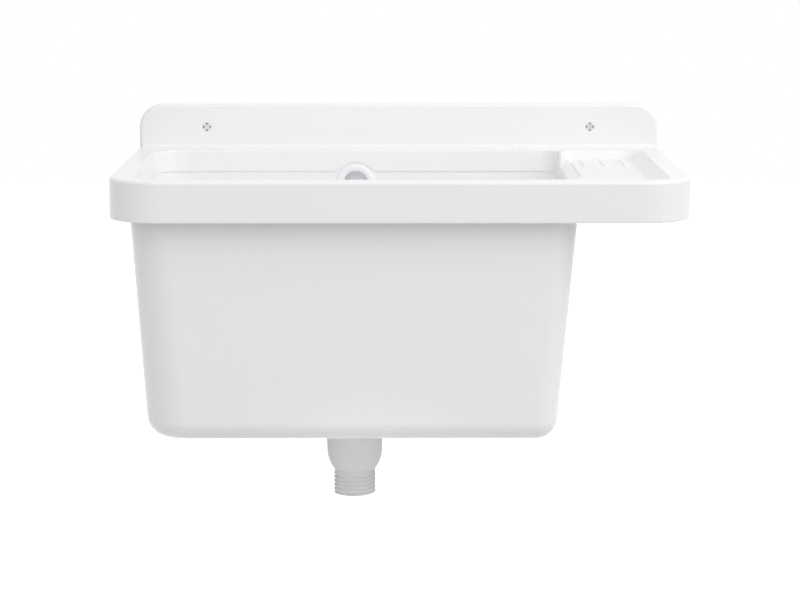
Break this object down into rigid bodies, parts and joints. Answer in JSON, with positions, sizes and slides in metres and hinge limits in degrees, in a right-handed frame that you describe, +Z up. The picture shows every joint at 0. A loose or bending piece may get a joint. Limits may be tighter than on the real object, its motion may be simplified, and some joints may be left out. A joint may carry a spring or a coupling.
{
  "type": "wall-mounted sink",
  "caption": "Wall-hung plastic utility sink: deep tapered bowl with overflow, soap tray beside it, back plate with screws, and a threaded waste under the bowl.",
  "frame": {"origin": "on the wall plane, midway between the two screw holes", "axes": "+X to the right as one faces the sink, +Y into the wall, +Z up"},
  "size_m": [0.6, 0.44, 0.4135],
  "materials": {
    "white_plastic": "glossy moulded polypropylene",
    "grey_plastic": "satin moulded polypropylene",
    "hose_plastic": "satin corrugated",
    "grey_plug": "dull nylon",
    "black_rubber": "dull",
    "plug_rubber": "dull",
    "dish_steel": "pressed stainless sheet",
    "screw_steel": "zinc plated",
    "brass": "turned"
  },
  "bodies": {
    "sink": {"basin": "white_plastic", "wall_screws": "screw_steel", "wall_plugs": "grey_plug", "overflow_ring": "white_plastic", "overflow_gasket": "black_rubber", "overflow_elbow": "white_plastic", "upper_hose_nut": "grey_plastic", "upper_hose_seal": "black_rubber", "overflow_hose": "hose_plastic", "lower_hose_nut": "grey_plastic", "lower_hose_seal": "black_rubber", "dish_gasket": "black_rubber", "body_gasket": "black_rubber", "waste_body": "grey_plastic", "waste_insert": "brass", "strainer_dish": "dish_steel", "waste_screw": "screw_steel"},
    "plug": {"drain_plug": "plug_rubber"}
  },
  "joints": [
    {"name": "plug_lift", "type": "slide", "parent": "sink", "child": "plug", "axis": [0, 0, 1], "range_m": [0, 0.04]}
  ]
}
